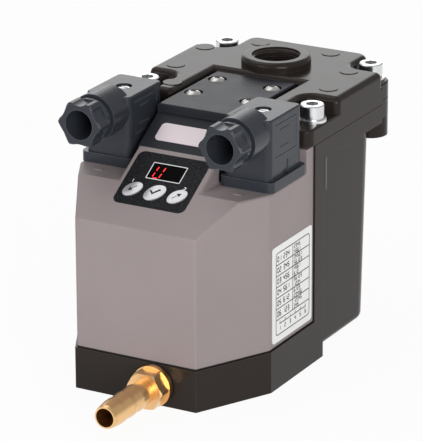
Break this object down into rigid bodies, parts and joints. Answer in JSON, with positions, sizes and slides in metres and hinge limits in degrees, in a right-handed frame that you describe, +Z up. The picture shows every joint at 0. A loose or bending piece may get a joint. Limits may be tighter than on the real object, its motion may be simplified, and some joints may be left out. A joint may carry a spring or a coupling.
{
  "type": "automatic drain valve",
  "caption": "Zero-loss automatic condensate drain: reservoir with bolted lid and top inlet, solenoid valve, keypad and display cover, plug connectors and hose tail.",
  "frame": {"origin": "on the underside plane, directly below the axis of the inlet in the lid", "axes": "+Z up along the inlet's axis, -Y towards the front with the display and the outlet, +X to the right seen from the front"},
  "size_m": [0.0908, 0.194, 0.1195],
  "materials": {
    "black_moulding": "dark brownish black moulded plastic, satin with glossier edges",
    "head_moulding": "bluish black moulded plastic, matte",
    "cover_grey": "warm mauve-grey satin moulded plastic",
    "plug_black": "bluish black plug plastic, matte",
    "seal_rubber": "black nitrile rubber",
    "zinc_steel": "bright zinc-plated steel",
    "stainless": "stainless steel",
    "brass": "turned brass, lightly aged",
    "keypad_film": "black printed polyester film, fine texture",
    "key_white": "pearl white domed key",
    "lens_clear": "dark clear window",
    "display_black": "black display body",
    "board_green": "green circuit board",
    "switch_black": "black switch body",
    "insulator_black": "black glass-filled insulator",
    "contact_tin": "tinned contact blades",
    "insert_grey": "grey terminal block",
    "plate_white": "white printed film",
    "plate_silver": "satin silver film, bare",
    "coil_black": "black potted coil",
    "filter_nylon": "natural nylon strainer",
    "probe_ptfe": "white fluoropolymer sheath"
  },
  "bodies": {
    "root": {"reservoir": "black_moulding", "reservoir_lid": "black_moulding", "lid_seal": "seal_rubber", "lid_screws": "zinc_steel", "lid_washers": "zinc_steel", "head_block": "head_moulding", "head_screws": "stainless", "name_plate": "plate_silver", "front_cover": "cover_grey", "cover_gasket": "seal_rubber", "cover_screws": "zinc_steel", "rating_plate": "plate_white", "keypad_overlay": "keypad_film", "key_switches": "switch_black", "display_lens": "lens_clear", "display_module": "display_black", "circuit_board": "board_green", "board_screws": "zinc_steel", "outlet_washer": "seal_rubber", "outlet_tail": "brass", "valve_seat": "brass", "valve_bonnet": "stainless", "bonnet_seal": "seal_rubber", "bonnet_screws": "stainless", "core_tube": "stainless", "valve_spring": "stainless", "valve_coil": "coil_black", "coil_yoke": "zinc_steel", "coil_nut": "zinc_steel", "level_probe": "probe_ptfe", "probe_seal": "seal_rubber", "inlet_strainer": "filter_nylon", "power_socket_base": "insulator_black", "power_socket_contacts": "contact_tin", "alarm_socket_base": "insulator_black", "alarm_socket_contacts": "contact_tin"},
    "power_plug": {"power_plug_housing": "plug_black", "power_plug_gasket": "plug_black", "power_plug_insert": "insert_grey", "power_plug_screw": "zinc_steel", "power_grommet": "seal_rubber"},
    "power_ring": {"power_thrust_ring": "plug_black"},
    "power_nut": {"power_gland_nut": "plug_black"},
    "alarm_plug": {"alarm_plug_housing": "plug_black", "alarm_plug_gasket": "plug_black", "alarm_plug_insert": "insert_grey", "alarm_plug_screw": "zinc_steel", "alarm_grommet": "seal_rubber"},
    "alarm_ring": {"alarm_thrust_ring": "plug_black"},
    "alarm_nut": {"alarm_gland_nut": "plug_black"},
    "left_key_cap": {"left_key": "key_white"},
    "centre_key_cap": {"centre_key": "key_white"},
    "right_key_cap": {"right_key": "key_white"},
    "valve_plunger": {"plunger": "stainless", "plunger_seal": "seal_rubber"}
  },
  "joints": [
    {"name": "power_plug_lift", "type": "slide", "parent": "root", "child": "power_plug", "axis": [0, 0, 1], "range_m": [0, 0.034]},
    {"name": "power_ring_slide", "type": "slide", "parent": "power_plug", "child": "power_ring", "axis": [0, -1, 0], "range_m": [0, 0.003]},
    {"name": "power_nut_turn", "type": "hinge", "parent": "power_ring", "child": "power_nut", "pos_m": [-0.0327, -0.1, 0.1095], "axis": [0, -1, 0], "range_deg": [0, 720]},
    {"name": "alarm_plug_lift", "type": "slide", "parent": "root", "child": "alarm_plug", "axis": [0, 0, 1], "range_m": [0, 0.034]},
    {"name": "alarm_ring_slide", "type": "slide", "parent": "alarm_plug", "child": "alarm_ring", "axis": [0, -1, 0], "range_m": [0, 0.003]},
    {"name": "alarm_nut_turn", "type": "hinge", "parent": "alarm_ring", "child": "alarm_nut", "pos_m": [0.0327, -0.1, 0.1095], "axis": [0, -1, 0], "range_deg": [0, 720]},
    {"name": "left_key_press", "type": "slide", "parent": "root", "child": "left_key_cap", "axis": [0, 0.5105, -0.8599], "range_m": [0, 0.0005], "stiffness_N_per_m": 600, "springref_m": -0.0005},
    {"name": "centre_key_press", "type": "slide", "parent": "root", "child": "centre_key_cap", "axis": [0, 0.5105, -0.8599], "range_m": [0, 0.0005], "stiffness_N_per_m": 600, "springref_m": -0.0005},
    {"name": "right_key_press", "type": "slide", "parent": "root", "child": "right_key_cap", "axis": [0, 0.5105, -0.8599], "range_m": [0, 0.0005], "stiffness_N_per_m": 600, "springref_m": -0.0005},
    {"name": "plunger_lift", "type": "slide", "parent": "root", "child": "valve_plunger", "axis": [0, 0, 1], "range_m": [0, 0.0018], "stiffness_N_per_m": 400, "springref_m": -0.002, "deforming": ["valve_spring"]}
  ],
  "couplings": [
    {"joint": "power_ring_slide", "follows": "power_nut_turn", "m_per_rad": 0.00023873},
    {"joint": "alarm_ring_slide", "follows": "alarm_nut_turn", "m_per_rad": 0.00023873}
  ]
}
